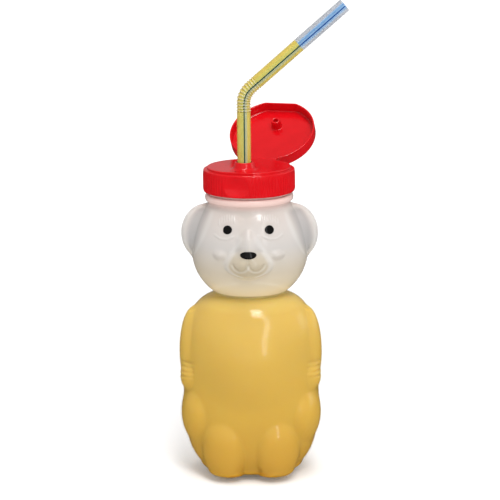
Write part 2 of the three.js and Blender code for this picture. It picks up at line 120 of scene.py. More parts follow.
def lobe_radius(sizes, angle, height):
    """Radius out to the far side of a lobe, or 0 where it isn't met."""
    towards, level, sunk, across, out, up, _, squareness = sizes
    towards = math.radians(towards)
    size = fullness(height - level, up, squareness)
    middle = (trunk(np.array(towards), np.array(float(level))) - sunk) / out
    ahead, aside = np.cos(angle - towards) / out, np.sin(angle - towards) / across
    slant = ahead * ahead + aside * aside
    reach = middle * ahead
    inside = reach * reach - slant * (middle * middle - size * size)
    met = (inside >= 0) & (reach >= 0) & (size > 0)
    return np.where(met, (reach + np.sqrt(np.maximum(inside, 0))) / slant, 0)


def bear_skin(angle, height):
    """Radius of the bear's plain skin in millimetres; angle 0 is the front."""
    round_angle = np.arctan2(np.sin(angle), np.cos(angle))
    radius = trunk(round_angle, height)
    for part, sizes in LOBES.items():
        towards = round_angle if part in SINGLE_LOBES else np.abs(round_angle)
        softness = sizes[6]
        radius = joined(radius, lobe_radius(sizes, towards, height), softness)
    return radius


def bear_inside(angle, height):
    """Radius of the inner skin: the outer one drawn in by the wall from all sides."""
    skin = bear_skin(angle, height)
    drawn = skin - WALL
    for share in (0.6, 1):
        for turn in np.arange(8) * math.pi / 4:
            aside, above = share * WALL * math.cos(turn) / skin, share * WALL * math.sin(turn)
            near = bear_skin(angle + aside, height + above) - WALL * math.sqrt(1 - share * share)
            drawn = np.minimum(drawn, near)
    return drawn


def bump(distance, width):
    """Smooth hump of height 1 that ends at the width."""
    share = np.clip(np.abs(distance) / width, 0, 1)
    return (1 - share * share) ** 2


def step(low, high, value):
    """Smooth step from 0 at the low end to 1 at the high end."""
    share = np.clip((value - low) / (high - low), 0, 1)
    return share * share * (3 - 2 * share)


# Relief of the face and paws: sides from the middle, heights over the base, then widths and drops
EYE_ANGLE, EYE_SIDE, EYE_HEIGHT = 25.5, 9.7, 112
MUZZLE_HALF, MUZZLE_NARROWING = 9.8, 5.9
MUZZLE_WIDEST, MUZZLE_DROP, MUZZLE_TOP = 97.5, 5.4, 109.5
POUCH_SIDE, POUCH_HEIGHT, POUCH_WIDTH, POUCH_DROP = 10.3, 111, 4.4, 2.8
BROW_TOP, STROKES, STROKE_LENGTH = 118.4, 7, 3.4
STROKE_FROM, STROKE_SPACING, STROKE_WIDTH = 6, 1.05, 0.42
SMILE_SIDE, SMILE_HEIGHT, SMILE_WIDTH, SMILE_DROP = 3.4, 98.4, 3.1, 2.9
CHIN_HEIGHT, CHIN_WIDTH, CHIN_TALL = 92.6, 3.2, 1.8
CHEEK_SIDE, CHEEK_HEIGHT, CHEEK_WIDTH, CHEEK_TALL = 12.3, 101.2, 3.6, 2.7
PAW_ANGLE = math.radians(72)
FINGER_GROOVES = (45.4, 47.4, 49.4, 51.4)


def muzzle_edge(height):
    """Half the width of the pear-shaped muzzle at a height."""
    below = (MUZZLE_WIDEST - height) / MUZZLE_DROP
    low = MUZZLE_HALF * np.sqrt(np.clip(1 - below ** 2, 0, 1))
    high = MUZZLE_HALF - MUZZLE_NARROWING * step(MUZZLE_WIDEST - 1, MUZZLE_TOP, height)
    return np.where(height < MUZZLE_WIDEST, low, high)


def eye_fold(side, height):
    """Share of the fold under each eye, a short hanging arc."""
    arc = np.hypot((side - POUCH_SIDE) / POUCH_WIDTH, (height - POUCH_HEIGHT) / POUCH_DROP)
    return bump((arc - 1) * 3.2, 0.7) * step(-0.8, -1.8, height - POUCH_HEIGHT)


def brow_fur(side, height):
    """Share of the fine upright strokes above each eye."""
    strokes = np.zeros_like(side)
    for stroke in range(STROKES):
        top = BROW_TOP - 0.12 * (stroke - 2) ** 2
        foot = top - STROKE_LENGTH
        length = step(foot, foot + 1, height) * step(top, top - 0.8, height)
        strokes += bump(side - STROKE_FROM - stroke * STROKE_SPACING, STROKE_WIDTH) * length
    return strokes


def face_relief(angle, height, radius):
    """Moulded relief on the skin, outwards in millimetres, and how much of it gets a painted highlight
    along a ridge.
    """
    front = np.cos(angle) > 0
    across, side = radius * np.sin(angle), np.abs(radius * np.sin(angle))
    raised = np.zeros_like(radius)
    # Raised muzzle with a ridge along its edge
    inwards = muzzle_edge(height) - side
    stretch = step(CHIN_HEIGHT - 1, CHIN_HEIGHT, height)
    stretch *= step(MUZZLE_TOP + 1.5, MUZZLE_TOP - 1, height)
    ridge = 0.8 * bump(inwards - 0.2, 2) * stretch
    raised += (0.25 * step(-0.8, 0.8, inwards) + 0.45 * ridge) * stretch
    # Mouth: two drooping lips below the nose, with soft pads above them
    over_smile = height - SMILE_HEIGHT
    for lip in (-SMILE_SIDE, SMILE_SIDE):
        ring = np.hypot((across - lip) / SMILE_WIDTH, over_smile / SMILE_DROP)
        lower = step(0.2, -0.9, over_smile)
        raised -= 0.5 * bump((ring - 1) * 3, 0.75) * lower
        raised += 0.35 * bump(ring, 0.95)
        ridge = ridge + 0.45 * bump((ring - 1.25) * 3, 0.7) * lower
    raised -= 0.3 * bump(across, 0.6) * step(-0.8, 0.2, over_smile) * step(2, 1.4, over_smile)
    # Chin and cheeks
    raised += 0.5 * bump(np.hypot(across / CHIN_WIDTH, (height - CHIN_HEIGHT) / CHIN_TALL), 1)
    cheek = np.hypot((side - CHEEK_SIDE) / CHEEK_WIDTH, (height - CHEEK_HEIGHT) / CHEEK_TALL)
    raised += 1.3 * bump(cheek, 1)
    # Eyes: a shallow socket, the fold below it and the fur above it
    raised -= 0.25 * bump(np.hypot(side - EYE_SIDE, height - EYE_HEIGHT), 3.4)
    fold, fur = eye_fold(side, height), brow_fur(side, height)
    raised += 0.3 * fold + 0.25 * fur
    raised = np.where(front, raised, 0)
    # Painted highlight on the ridges, the folds under the eyes and the fur strokes
    ridge = np.where(front, ridge + 0.9 * fold + 0.8 * fur, 0)
    # Grooves between the fingers of each paw
    around = np.abs(np.arctan2(np.sin(angle), np.cos(angle)))
    paw = bump(around - PAW_ANGLE, 0.24)
    for groove in FINGER_GROOVES:
        raised -= 0.45 * bump(height - groove, 0.75) * paw
    # Seam of the mould up both sides
    raised += 0.1 * bump((around - math.pi / 2) * radius, 0.5) * step(2, 6, height)
    return raised, np.clip(ridge, 0, 1)


# Hollow front of each ear, from the side of the head out to a rim
EAR_ANGLE, EAR_RIM = LOBES["ear"][0], 1.3
EAR_FOOT, EAR_TALL, EAR_TOP = 96, 22, 119.5
EAR_ROOT, EAR_LEAN = 25, 9
OUT_OF_EAR = 9


def ear_front(angle, height, radius):
    """Place in the hollow front of each ear: 0 in its middle, 1 at its rim."""
    side = np.abs(radius * np.sin(angle))
    around = np.abs(np.arctan2(np.sin(angle), np.cos(angle)))
    inner = EAR_ROOT - EAR_LEAN * np.clip((height - EAR_FOOT) / EAR_TALL, 0, 1)
    middle = np.full_like(height, math.radians(EAR_ANGLE))
    outer = lobe_radius(LOBES["ear"], middle, height) - EAR_RIM
    half = np.maximum((outer - inner) / 2, 0.01)
    place = np.abs(side - inner - half) / half
    on_front = (around < math.radians(EAR_ANGLE + 1)) & (outer > inner + 0.5)
    return np.where(on_front, place, OUT_OF_EAR)


def outline_of(made):
    """A mesh's points as columns of x, y, z in millimetres."""
    flat = np.empty(len(made.data.vertices) * 3)
    made.data.vertices.foreach_get("co", flat)
    return flat.reshape(-1, 3) / MM


def put_points(made, points):
    """Gives a mesh its points, in millimetres."""
    made.data.vertices.foreach_set("co", (np.asarray(points) * MM).ravel())
    made.data.update()


def edit(made):
    """Leaves one object selected, in edit mode, with all of it selected."""
    if bpy.context.mode != "OBJECT":
        bpy.ops.object.mode_set(mode="OBJECT")
    bpy.ops.object.select_all(action="DESELECT")
    made.select_set(True)
    bpy.context.view_layer.objects.active = made
    bpy.ops.object.mode_set(mode="EDIT")
    bpy.ops.mesh.select_all(action="SELECT")


def spun(name, outline, steps):
    """Turns an outline of (radius, height) points in millimetres about the upright axis."""
    bpy.ops.object.select_all(action="DESELECT")
    bpy.ops.mesh.primitive_plane_add(size=MM)
    made = bpy.context.object
    made.name = made.data.name = name
    edit(made)
    bpy.ops.mesh.merge(type="CENTER")
    last = (0, 0)
    for at, (radius, height) in enumerate(outline):
        move = ((radius - last[0]) * MM, 0, (height - last[1]) * MM)
        if at == 0:
            bpy.ops.transform.translate(value=move)
        else:
            bpy.ops.mesh.extrude_vertices_move(TRANSFORM_OT_translate={"value": move})
        last = (radius, height)
    bpy.ops.mesh.select_all(action="SELECT")
    bpy.ops.mesh.spin(steps=steps, angle=2 * math.pi, center=(0, 0, 0), axis=(0, 0, 1))
    bpy.ops.mesh.select_all(action="SELECT")
    bpy.ops.mesh.remove_doubles(threshold=0.001 * MM)
    bpy.ops.mesh.normals_make_consistent(inside=False)
    bpy.ops.object.mode_set(mode="OBJECT")
    return made


def smooth(made, degrees):
    """Shades a piece smooth, with edges kept where it turns by more than an angle."""
    bpy.ops.object.select_all(action="DESELECT")
    made.select_set(True)
    bpy.context.view_layer.objects.active = made
    bpy.ops.object.shade_smooth_by_angle(angle=math.radians(degrees))


def levels(*stretches):
    """Heights from (from, to, step) stretches that follow each other, ends included."""
    heights = [stretches[0][0]]
    for low, high, pitch in stretches:
        count = max(round(abs(high - low) / pitch), 1)
        heights += [low + (high - low) * at / count for at in range(1, count + 1)]
    return heights


SKIN_MARK, INSIDE_MARK = 60, 50
FACE_CROWDING = 0.45
EAR_HOLLOW = 1.7
HEEL_ROUND = 3
half_groove = GROOVE_WIDTH / 2
bore = NECK_RADIUS - NECK_WALL
skin_heights = levels(
    (0, 3, 0.4), (3, 39, 0.85), (39, 51, 0.5), (51, 77, 0.85), (77, 82, 0.4), (82, 90, 0.7),
    (90, 119, 0.36), (119, NECK_HEIGHT, 0.5),
)
heel_top = FLOOR + HEEL_ROUND
inside_heights = levels(
    (NECK_HEIGHT - 1.5, 84, 1.6), (84, 76, 0.8), (76, 52, 1.7), (52, 38, 0.6), (38, heel_top, 1.7),
    (heel_top, FLOOR + 0.02, 0.6),
)
bottle_outline = [
    (0, 0),
    (GROOVE_RADIUS - half_groove, 0),
    (GROOVE_RADIUS - half_groove / 2, GROOVE_DEPTH),
    (GROOVE_RADIUS + half_groove / 2, GROOVE_DEPTH),
    (GROOVE_RADIUS + half_groove, 0),
]
bottle_outline += [(SKIN_MARK, z) for z in skin_heights]
bead_middle = BEAD_Z + BEAD_HEIGHT / 2
for turn in levels((-90, 90, 15)):
    out, up = math.cos(math.radians(turn)), math.sin(math.radians(turn))
    bead = NECK_RADIUS + (BEAD_RADIUS - NECK_RADIUS) * out ** 0.6
    bottle_outline.append((bead, bead_middle + up * BEAD_HEIGHT / 2))
bead_top = BEAD_Z + BEAD_HEIGHT
bottle_outline += [(NECK_RADIUS, z) for z in levels((bead_top + 0.3, LIP_Z - LIP_EASE, 0.3))]
bottle_outline += [
    (NECK_RADIUS - LIP_TURN, LIP_Z - LIP_TURN),
    (NECK_RADIUS - LIP_EASE, LIP_Z),
    (bore + LIP_EASE, LIP_Z),
    (bore + LIP_TURN, LIP_Z - LIP_TURN),
    (bore, LIP_Z - LIP_EASE),
    (bore, NECK_HEIGHT),
]
bottle_outline += [(INSIDE_MARK, z) for z in inside_heights]
bottle_outline.append((0, FLOOR))
bottle = spun("bottle", bottle_outline, 288)

points = outline_of(bottle)
turned = np.arctan2(points[:, 0], -points[:, 1])
angle = turned - FACE_CROWDING * np.sin(turned)
height = points[:, 2]
radius = np.hypot(points[:, 0], points[:, 1])
on_skin, on_inside = radius > SKIN_MARK - 1, np.abs(radius - INSIDE_MARK) < 1
in_thread = (np.abs(radius - NECK_RADIUS) < 0.01) & (height > bead_top) & (height < LIP_Z - 0.3)
rise = (height - bead_top) / THREAD_PITCH - angle / (2 * math.pi)
ridge = bump((rise - np.round(rise)) * THREAD_PITCH, THREAD_WIDTH)
ends = step(0.15, 0.35, rise) * step(1.75, 1.55, rise)
radius = np.where(in_thread, radius + THREAD_HEIGHT * ridge * ends, radius)
plain = bear_skin(angle[on_skin], height[on_skin])
relief, ridge_highlight = face_relief(angle[on_skin], height[on_skin], plain)
radius[on_skin] = plain + relief
corner = np.clip((heel_top - height[on_inside]) / HEEL_ROUND, 0, 1)
rounded = HEEL_ROUND * (1 - np.sqrt(1 - corner * corner))
above_heel = np.maximum(height[on_inside], heel_top)
drawn = bear_inside(angle[on_inside], above_heel)
radius[on_inside] = drawn + face_relief(angle[on_inside], above_heel, drawn)[0] - rounded
place = np.where(on_skin | on_inside, ear_front(angle, height, radius), OUT_OF_EAR)
ends = step(EAR_FOOT, EAR_FOOT + 4, height) * step(EAR_TOP, EAR_TOP - 3, height)
dish = EAR_HOLLOW * step(1.15, 0.1, place) * ends
put_points(bottle, np.stack([radius * np.sin(angle), dish - radius * np.cos(angle), height], 1))
smooth(bottle, 50)
# Tones of the skin: a painted highlight along ridges and ear rims, warm on the muzzle, and painted shade in
# the hollow of each ear
tones = np.zeros((len(points), 3))
tones[on_skin, 0] = ridge_highlight
# Painted highlight along the rim of each ear
tones[:, 0] = np.maximum(tones[:, 0], np.where(on_skin, 0.8 * bump(place - 1.1, 0.4) * ends, 0))
inwards = muzzle_edge(height) - np.abs(radius * np.sin(angle))
in_muzzle = step(-1, 3, inwards) * step(91, 94, height) * step(106, 100, height)
tones[:, 1] = in_muzzle * (np.cos(angle) > 0) * on_skin
# Painted shade in the hollow of each ear
tones[:, 2] = step(1, 0.3, place) * ends * on_skin
bottle.data.attributes.new("tones", "FLOAT_VECTOR", "POINT").data.foreach_set("vector", tones.ravel())


def paint(red, green, blue):
    """Linear colour of a paint given as it looks, from 0 to 255."""
    shares = [value / 255 for value in (red, green, blue)]
    return [s / 12.92 if s <= 0.04045 else ((s + 0.055) / 1.055) ** 2.4 for s in shares] + [1]


def grey(level):
    """Colour with the same share of red, green and blue."""
    return level, level, level, 1


def finish(name):
    """New material: its node tree and its Principled shader."""
    made = bpy.data.materials.new(name)
    made.use_nodes = True
    return made, made.node_tree, made.node_tree.nodes["Principled BSDF"]


def node(tree, kind, **values):
    """New node with its sockets and settings filled in."""
    made = tree.nodes.new(kind)
    for name, value in values.items():
        socket = made.inputs.get(name.replace("_", " ")) or made.inputs.get(name)
        if socket is not None:
            socket.default_value = value
        else:
            setattr(made, name, value)
    return made


def ramp(tree, factor, stops):
    """Colour ramp from (place, colour) stops, fed by an output."""
    made = tree.nodes.new("ShaderNodeValToRGB")
    elements = made.color_ramp.elements
    while len(elements) < len(stops):
        elements.new(0.5)
    for element, (place, colour) in zip(elements, stops):
        element.position = place
        element.color = colour
    tree.links.new(factor, made.inputs["Fac"])
    return made.outputs["Color"]


def speckle(tree, size, detail=3.0):
    """Noise over the piece's own place, with grains of about that size in millimetres."""
    place = node(tree, "ShaderNodeTexCoord")
    made = node(tree, "ShaderNodeTexNoise", Scale=1 / (size * MM), Detail=detail)
    tree.links.new(place.outputs["Object"], made.inputs["Vector"])
    return made.outputs["Fac"]


def between(tree, value, low, high):
    """A value from 0 to 1 spread between two others."""
    made = node(tree, "ShaderNodeMapRange")
    made.inputs["To Min"].default_value = low
    made.inputs["To Max"].default_value = high
    tree.links.new(value, made.inputs["Value"])
    return made.outputs["Result"]


def roughen(tree, shader, value, depth, strength):
    """Bump of a depth in millimetres from a value."""
    made = node(tree, "ShaderNodeBump", Strength=strength, Distance=depth * MM)
    tree.links.new(value, made.inputs["Height"])
    tree.links.new(made.outputs["Normal"], shader.inputs["Normal"])


def height_share(tree, top):
    """Height over the base as a share of a height in millimetres."""
    place = node(tree, "ShaderNodeTexCoord")
    upright = node(tree, "ShaderNodeSeparateXYZ")
    tree.links.new(place.outputs["Object"], upright.inputs["Vector"])
    lift = node(tree, "ShaderNodeMapRange")
    lift.inputs["From Max"].default_value = top * MM
    tree.links.new(upright.outputs["Z"], lift.inputs["Value"])
    return lift.outputs["Result"]


def polished(tree, shader, grain, low, high):
    """Roughness that wanders between two values over a grain in millimetres."""
    tree.links.new(between(tree, speckle(tree, grain), low, high), shader.inputs["Roughness"])


DRINK_LEVEL = 81
milky, tree, shader = finish("milky_polyethylene")
share = height_share(tree, LIP_Z)
# Colour by height: yellow where the drink shows through, palest just above the drink, milky grey over the
# head
tint = ramp(tree, share, [
    (0, paint(232, 205, 110)),
    (DRINK_LEVEL / LIP_Z, paint(232, 208, 120)),
    ((DRINK_LEVEL + 1.2) / LIP_Z, paint(248, 232, 198)),
    (93 / LIP_Z, paint(224, 212, 191)),
    (104 / LIP_Z, paint(221, 216, 212)),
    # Painted reflection of the red cap: pink from the top of the forehead up to the bead
    (119 / LIP_Z, paint(228, 217, 210)),
    (121.5 / LIP_Z, paint(244, 212, 203)),
    (1, paint(248, 212, 203)),
])
marks = node(tree, "ShaderNodeAttribute", attribute_name="tones")
parts = node(tree, "ShaderNodeSeparateXYZ")
tree.links.new(marks.outputs["Vector"], parts.inputs["Vector"])
# Channel, colour and strength of each tone: Z is painted shade in the ear hollows, Y warms the muzzle, X is
# a painted highlight on ridges
TONES = (
    ("Z", paint(168, 169, 171), 0.62),
    ("Y", paint(188, 170, 128), 0.5),
    ("X", paint(238, 236, 232), 0.6),
)
for axis, colour, strength in TONES:
    mix = node(tree, "ShaderNodeMix", data_type="RGBA")
    mix.inputs["B"].default_value = colour
    tree.links.new(between(tree, parts.outputs[axis], 0, strength), mix.inputs["Factor"])
    tree.links.new(tint, mix.inputs["A"])
    tint = mix.outputs["Result"]
tree.links.new(tint, shader.inputs["Base Color"])
# How much of the drink and the far wall the skin covers, by height
film = ramp(tree, share, [
    (0, grey(0.12)),
    (DRINK_LEVEL / LIP_Z, grey(0.14)),
    ((DRINK_LEVEL + 1.2) / LIP_Z, grey(0.74)),
    (104 / LIP_Z, grey(0.6)),
    (119 / LIP_Z, grey(0.62)),
    (122 / LIP_Z, grey(0.85)),
])
tree.links.new(film, shader.inputs["Alpha"])
polished(tree, shader, 9, 0.1, 0.18)
shader.inputs["IOR"].default_value = 1.51
roughen(tree, shader, speckle(tree, 6, 1), 0.3, 0.2)
bottle.data.materials.append(milky)
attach(bottle, "bottle")
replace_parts(bottle, "bear_bottle")

# Eyes and nose
# Three drops of glossy black ink, pad-printed on the finished bottle.
# They lie on the skin and are domed by the thickness of the ink.
INK_THICKNESS = 0.3
INK_GAP = 0.02
EYE_WIDTH, EYE_TALL = 4.25, 3.65
NOSE_HEIGHT, NOSE_WIDTH, NOSE_TALL = 102.3, 7.2, 3.1


def mottled(tree, shader, grain, stops):
    """Colour that wanders along (place, colour) stops over a grain in millimetres."""
    tree.links.new(ramp(tree, speckle(tree, grain), stops), shader.inputs["Base Color"])


ink, tree, shader = finish("black_ink")
mottled(tree, shader, 0.8, [(0.3, paint(3, 2, 2)), (0.7, paint(10, 8, 7))])
polished(tree, shader, 0.5, 0.06, 0.16)
shader.inputs["IOR"].default_value = 1.38
roughen(tree, shader, speckle(tree, 0.6), 0.04, 0.3)


def ink_drop(name, towards, level, width, tall):
    """Domed drop of ink: a disc outline spun, stretched and laid on the skin."""
    rim = [(0, 0), (0.5, 0), (0.9, 0), (1, 0.05)]
    turns = [math.radians(turn) for turn in levels((80, 0, 10))]
    dome = [(math.sin(turn), 0.05 + 0.95 * math.cos(turn)) for turn in turns]
    drop = spun(name, rim + dome, 48)
    shape = outline_of(drop)
    middle = bear_skin(np.array(math.radians(towards)), np.array(float(level)))
    angle = math.radians(towards) + shape[:, 0] * width / 2 / middle
    height = level + shape[:, 1] * tall / 2
    plain = bear_skin(angle, height)
    relief, _ = face_relief(angle, height, plain)
    radius = plain + relief + INK_GAP + shape[:, 2] * INK_THICKNESS
    put_points(drop, np.stack([radius * np.sin(angle), -radius * np.cos(angle), height], 1))
    edit(drop)
    bpy.ops.mesh.normals_make_consistent(inside=False)
    bpy.ops.object.mode_set(mode="OBJECT")
    smooth(drop, 60)
    drop.data.materials.append(ink)
    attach(drop, "bottle")
    return drop


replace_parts(ink_drop("eye_ink_left", EYE_ANGLE, EYE_HEIGHT, EYE_WIDTH, EYE_TALL), "left_eye")
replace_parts(ink_drop("eye_ink_right", -EYE_ANGLE, EYE_HEIGHT, EYE_WIDTH, EYE_TALL), "right_eye")
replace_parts(ink_drop("nose_ink", 0, NOSE_HEIGHT, NOSE_WIDTH, NOSE_TALL), "nose")

# Drink
# Cloudy yellow juice that fills the body up to the crease below the chin.
# It wets the wall, so it follows the inside of the bottle and climbs a little at its edge.
WETTING = 0.12
MENISCUS = 0.8
drink_foot = FLOOR + 0.15
drink_heights = levels(
    (drink_foot, heel_top, 0.5), (heel_top, 38, 1.2), (38, 52, 0.4), (52, 76, 1.2),
    (76, DRINK_LEVEL, 0.5),
)
surface = [(0.985, DRINK_LEVEL - 0.35), (0.95, DRINK_LEVEL - 0.6), (0.85, DRINK_LEVEL - MENISCUS)]
drink_outline = [(0, drink_foot), (25, drink_foot)] + [(SKIN_MARK, z) for z in drink_heights]
drink_outline += [(share * INSIDE_MARK, z) for share, z in surface] + [(0, DRINK_LEVEL - MENISCUS)]
drink = spun("drink", drink_outline, 288)
points = outline_of(drink)
angle = np.arctan2(points[:, 0], -points[:, 1])
height = points[:, 2]
reach = np.hypot(points[:, 0], points[:, 1])
side = reach > SKIN_MARK - 1
corner = np.clip((heel_top - height) / HEEL_ROUND, 0, 1)
rounded = HEEL_ROUND * (1 - np.sqrt(1 - corner * corner))
drawn = bear_inside(angle, np.maximum(height, heel_top))
wall = drawn + face_relief(angle, height, drawn)[0] - rounded - WETTING
on_surface = (height > DRINK_LEVEL - 1) & ~side & (reach > 1)
radius = np.where(side, wall, np.where(on_surface, wall * reach / INSIDE_MARK, np.minimum(reach, 8)))
put_points(drink, np.stack([radius * np.sin(angle), -radius * np.cos(angle), height], 1))
smooth(drink, 50)
juice, tree, shader = finish("cloudy_juice")
# Colour by height: darker and more orange towards the bottom; the top stop is paler, painted light that
# lifts the shade in the crease under the chin
height_tone_and_painted_light = ramp(tree, height_share(tree, DRINK_LEVEL), [
    (0, paint(206, 152, 36)),
    (0.35, paint(214, 172, 62)),
    (0.75, paint(220, 183, 84)),
    (0.92, paint(226, 192, 98)),
    (1, paint(250, 226, 142)),
])
cloudy = node(tree, "ShaderNodeMix", data_type="RGBA", blend_type="MULTIPLY")
cloudy.inputs["B"].default_value = paint(240, 232, 214)
tree.links.new(speckle(tree, 25, 2), cloudy.inputs["Factor"])
tree.links.new(height_tone_and_painted_light, cloudy.inputs["A"])
tree.links.new(cloudy.outputs["Result"], shader.inputs["Base Color"])
polished(tree, shader, 6, 0.1, 0.17)
shader.inputs["IOR"].default_value = 1.5
shader.inputs["Subsurface Weight"].default_value = 0.7
shader.inputs["Subsurface Radius"].default_value = (1.0, 0.7, 0.25)
shader.inputs["Subsurface Scale"].default_value = 6 * MM
drink.data.materials.append(juice)
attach(drink, "bottle")

# Screw cap
# One moulding of red polypropylene: ribbed skirt, smooth thumb scoop, deck with a flat at the front,
# and a flared collar round the spout. It turns down the bottle's thread on to its liner.
CAP_TURN = math.radians(-15)
DECK_Z, DECK_UNDER, LEDGE_Z, SKIRT_Z = 136.1, 134.7, 135.1, 125.5
SKIRT_INNER, SKIRT_RADIUS, CAP_RADIUS = 18.2, 19.6, 20.0
DECK_RADIUS, DECK_FLAT, HINGE_FLAT = 18.05, 16.7, 18.8
RIB_COUNT = 80
RIB_DEPTH = 0.21
COLUMNS_PER_RIB = 8
SCOOP_WIDTH, SCOOP_HEIGHT, SCOOP_DEPTH = 18, 8.8, 1.0
SPOUT_REACH, SPOUT_BORE = 6.9, 3.3
COLLAR_TOP, COLLAR_FOOT, COLLAR_HEIGHT = 4.1, 4.8, 3
SEAL_RADIUS, SEAL_THICKNESS, SOCKET_WALL = 6.2, 1.6, 0.9
FIT = 0.3


def rounded_corner(before, corner, after, radius, count=5):
    """Points of an arc in place of a corner between two straight edges of an outline."""
    before, corner, after = Vector(before), Vector(corner), Vector(after)
    back, ahead = (before - corner).normalized(), (after - corner).normalized()
    half = back.angle(ahead) / 2
    centre = corner + (back + ahead).normalized() * radius / math.sin(half)
    start = corner + back * radius / math.tan(half) - centre
    end = corner + ahead * radius / math.tan(half) - centre
    turn = start.angle_signed(end)
    arc = []
    for at in range(count + 1):
        swing = -turn * at / count
        c, s = math.cos(swing), math.sin(swing)
        arc.append((centre.x + start.x * c - start.y * s, centre.y + start.x * s + start.y * c))
    return arc


def eased(corners):
    """Outline from (radius, height, rounding) corners, with each rounded one as an arc."""
    outline = []
    for at, (radius, height, rounding) in enumerate(corners):
        if rounding == 0:
            outline.append((radius, height))
        else:
            outline += rounded_corner(corners[at - 1][:2], (radius, height), corners[at + 1][:2], rounding)
    return outline


def close_flat(made, level):
    """Fills the flat between the open rims that lie at one height."""
    edit(made)
    bpy.ops.mesh.select_all(action="DESELECT")
    bpy.ops.mesh.select_mode(type="EDGE")
    shape = bmesh.from_edit_mesh(made.data)
    for edge in shape.edges:
        flat = all(abs(v.co.z / MM - level) < 0.01 for v in edge.verts)
        edge.select_set(flat and edge.is_boundary)
    shape.select_flush_mode()
    bmesh.update_edit_mesh(made.data)
    bpy.ops.mesh.fill(use_beauty=True)
    bpy.ops.mesh.select_mode(type="VERT")
    bpy.ops.mesh.select_all(action="SELECT")
    bpy.ops.mesh.normals_make_consistent(inside=False)
    bpy.ops.object.mode_set(mode="OBJECT")


def together(first, *others):
    """Joins pieces into the first one."""
    bpy.ops.object.select_all(action="DESELECT")
    for piece in (first, *others):
        piece.select_set(True)
    bpy.context.view_layer.objects.active = first
    bpy.ops.object.join()
    return first


def moved(made, change):
    """Moves a piece's points by a matrix in millimetres."""
    points = outline_of(made)
    grid = np.array(change)
    put_points(made, points @ grid[:3, :3].T + grid[:3, 3])


EASE = 0.35
skirt_outline = eased([
    (DECK_RADIUS - 1.6, DECK_Z, 0),
    (DECK_RADIUS, DECK_Z, EASE),
    (DECK_RADIUS, LEDGE_Z, 0.15),
    (CAP_RADIUS, LEDGE_Z, 0.4),
    (CAP_RADIUS, LEDGE_Z - 2, 0),
])
skirt_outline += [(CAP_RADIUS, z) for z in levels((LEDGE_Z - 2.4, SKIRT_Z + 1.6, 0.4))]
skirt_outline += eased([
    (CAP_RADIUS, SKIRT_Z + 1.2, 0),
    (CAP_RADIUS, SKIRT_Z, 0.5),
    (SKIRT_INNER, SKIRT_Z, 0.3),
    (SKIRT_INNER, SKIRT_Z + 1, 0),
])
skirt_outline += [(SKIRT_INNER, z) for z in levels((SKIRT_Z + 1.2, DECK_UNDER - 0.6, 0.35))]
skirt_outline += [(SKIRT_INNER, DECK_UNDER), (SKIRT_INNER - 1, DECK_UNDER)]
cap = spun("cap", skirt_outline, RIB_COUNT * COLUMNS_PER_RIB)
points = outline_of(cap)
angle = np.arctan2(points[:, 0], -points[:, 1])
radius = np.hypot(points[:, 0], points[:, 1])
height = points[:, 2]
outer = radius > SKIRT_RADIUS - 0.35
rib = 0.5 + 0.5 * np.cos(angle * RIB_COUNT)
band = step(SKIRT_Z + 0.3, SKIRT_Z + 0.9, height) * step(LEDGE_Z - 0.5, LEDGE_Z - 1.1, height)
sunk = CAP_RADIUS - SKIRT_RADIUS - RIB_DEPTH * band * rib
radius = np.where(outer, radius - sunk, radius)
thread_wall = (np.abs(radius - SKIRT_INNER) < 0.01) & (height > SKIRT_Z + 1.1) & (height < DECK_UNDER - 0.5)
rise = (height - bead_top) / THREAD_PITCH - (angle + CAP_TURN) / (2 * math.pi) - 0.5
ridge = bump((rise - np.round(rise)) * THREAD_PITCH, 0.8)
radius = np.where(thread_wall, radius - 0.3 * ridge * step(0.1, 0.3, rise) * step(1.5, 1.3, rise), radius)
across, ahead = radius * np.sin(angle), -radius * np.cos(angle)
# Thumb scoop, as a shallow ellipsoid hollow in the front of the skirt
from_scoop = height - (SKIRT_Z + LEDGE_Z) / 2
scoop = 1 - (across / (SCOOP_WIDTH / 2)) ** 2 - (from_scoop / (SCOOP_HEIGHT / 2)) ** 2
depth = CAP_RADIUS - SKIRT_RADIUS + SCOOP_DEPTH
hollow = -CAP_RADIUS + depth * np.sqrt(np.clip(scoop, 0, 1))
ahead = np.where(outer & (scoop > 0), np.maximum(ahead, hollow), ahead)
# Flats: behind, for the hinge, and at the front of the deck, for the lid's thumb flat
ahead = np.where(outer, np.minimum(ahead, HINGE_FLAT), ahead)
on_deck = (height > LEDGE_Z - 0.01) & (radius < DECK_RADIUS + 0.3)
deck_front = DECK_RADIUS - DECK_FLAT - np.minimum(radius, DECK_RADIUS)
ahead = np.where(on_deck, np.maximum(ahead, deck_front), ahead)
put_points(cap, np.stack([across, ahead, height], 1))

socket_inner = SEAL_RADIUS + FIT
socket_bottom = DECK_UNDER - SEAL_THICKNESS - FIT
spout_outline = eased([
    (socket_inner + SOCKET_WALL + 0.6, DECK_UNDER, 0),
    (socket_inner + SOCKET_WALL, DECK_UNDER, 0.2),
    (socket_inner + SOCKET_WALL, socket_bottom, 0.2),
    (socket_inner, socket_bottom, 0.2),
    (socket_inner, DECK_UNDER, 0.15),
    (SPOUT_BORE, DECK_UNDER, 0.15),
    (SPOUT_BORE, DECK_Z + COLLAR_HEIGHT, 0.3),
    (COLLAR_TOP, DECK_Z + COLLAR_HEIGHT, 0.3),
    (COLLAR_FOOT, DECK_Z, 1.2),
    (COLLAR_FOOT + 1.8, DECK_Z, 0),
])
spout = spun("spout", spout_outline, 96)
moved(spout, Matrix.Translation((0, -SPOUT_REACH, 0)))
together(cap, spout)
close_flat(cap, DECK_Z)
close_flat(cap, DECK_UNDER)
moved(cap, Matrix.Rotation(CAP_TURN, 4, "Z"))
smooth(cap, 40)

